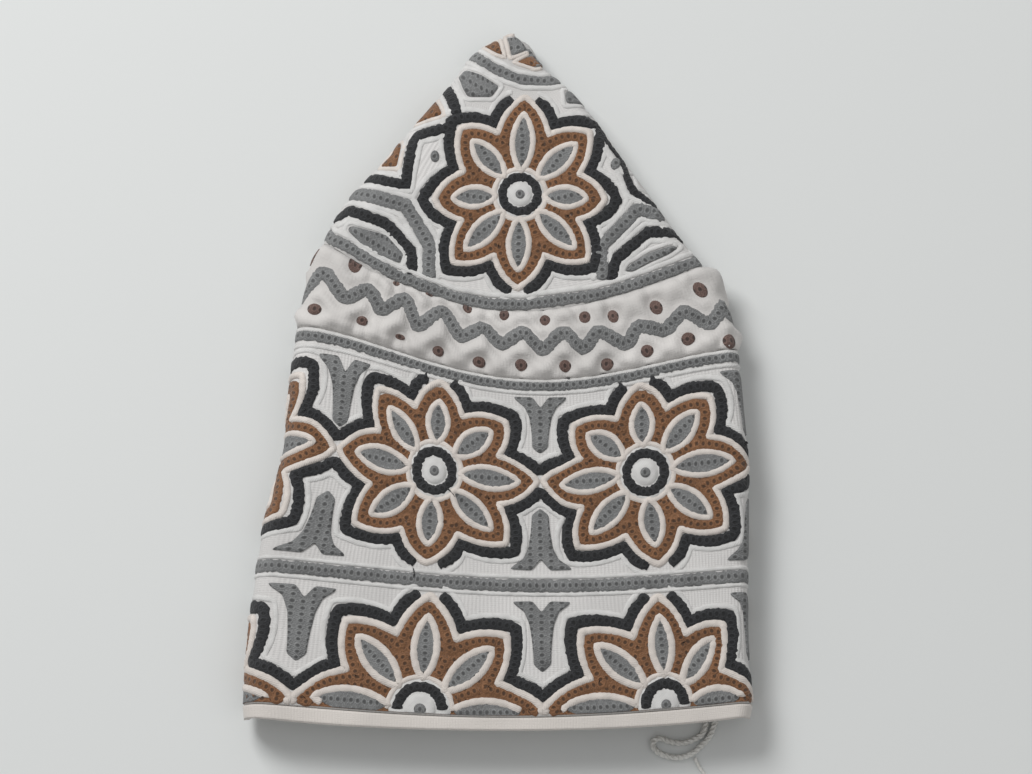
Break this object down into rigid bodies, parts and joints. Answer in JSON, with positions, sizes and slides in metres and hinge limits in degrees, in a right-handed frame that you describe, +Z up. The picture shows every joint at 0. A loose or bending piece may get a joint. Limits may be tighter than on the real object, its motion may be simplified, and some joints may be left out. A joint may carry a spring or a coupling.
{
  "type": "folded kumma cap",
  "caption": "Embroidered kumma cap folded flat to a pointed quarter, with a rosette crown and wall, a gathered strip, a plain hem and a loose loop of yarn.",
  "frame": {"origin": "on the surface that the folded cap lies on, below the middle of its box", "axes": "+X to the right of the cap as pictured, +Y toward its peak, +Z up out of the front layer"},
  "size_m": [0.1448, 0.2314, 0.0162],
  "materials": {
    "embroidered_cotton": "off-white cotton, close thread embroidery in brown, black and grey",
    "gathered_cotton": "soft cream cotton, puckered",
    "hem_cotton": "plain cream cotton binding",
    "cotton_yarn": "soft spun cotton yarn"
  },
  "bodies": {
    "root": {"crown": "embroidered_cotton", "gathered_strip": "gathered_cotton", "side_wall": "embroidered_cotton", "hem_band": "hem_cotton", "hem_yarn": "cotton_yarn", "yarn_tail": "cotton_yarn"}
  },
  "joints": []
}
